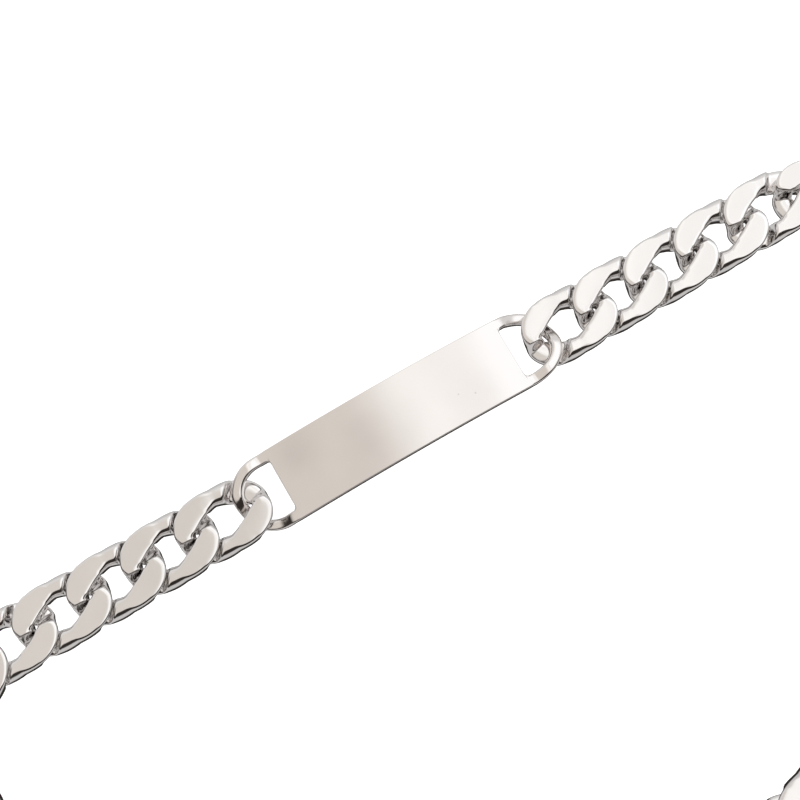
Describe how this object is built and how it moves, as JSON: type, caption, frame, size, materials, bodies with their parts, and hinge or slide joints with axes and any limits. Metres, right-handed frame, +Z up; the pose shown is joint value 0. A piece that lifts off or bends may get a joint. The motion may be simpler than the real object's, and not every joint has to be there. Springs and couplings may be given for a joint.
{
  "type": "id bracelet",
  "caption": "Steel identity bracelet with an arched plain name plate, pressed curb links and a box clasp, closed into a loop and lying face up.",
  "frame": {"origin": "on the surface that the bracelet lies on, under the middle of its box", "axes": "+X along the name plate and the band beside it, +Z up out of the faces of plate and links, -Y from the plate to the clasp"},
  "size_m": [0.0984, 0.0516, 0.0034],
  "materials": {
    "plate_steel": "soft polish with a bright softbox reflection",
    "link_steel": "polished pressed faces, bright sides",
    "clasp_steel": "polished"
  },
  "bodies": {
    "root": {"plate": "plate_steel", "clasp": "clasp_steel", "link_right_1": "link_steel", "link_right_2": "link_steel", "link_right_3": "link_steel", "link_right_4": "link_steel", "link_right_5": "link_steel", "link_right_6": "link_steel", "link_right_7": "link_steel", "link_right_8": "link_steel", "link_right_9": "link_steel", "link_right_10": "link_steel", "link_right_11": "link_steel", "link_right_12": "link_steel", "link_right_13": "link_steel", "link_right_14": "link_steel", "link_right_15": "link_steel", "link_right_16": "link_steel", "link_right_17": "link_steel", "link_right_18": "link_steel", "link_right_19": "link_steel", "link_left_1": "link_steel", "link_left_2": "link_steel", "link_left_3": "link_steel", "link_left_4": "link_steel", "link_left_5": "link_steel", "link_left_6": "link_steel", "link_left_7": "link_steel", "link_left_8": "link_steel", "link_left_9": "link_steel", "link_left_10": "link_steel", "link_left_11": "link_steel", "link_left_12": "link_steel", "link_left_13": "link_steel", "link_left_14": "link_steel", "link_left_15": "link_steel", "link_left_16": "link_steel", "link_left_17": "link_steel", "link_left_18": "link_steel", "link_left_19": "link_steel"}
  },
  "joints": []
}
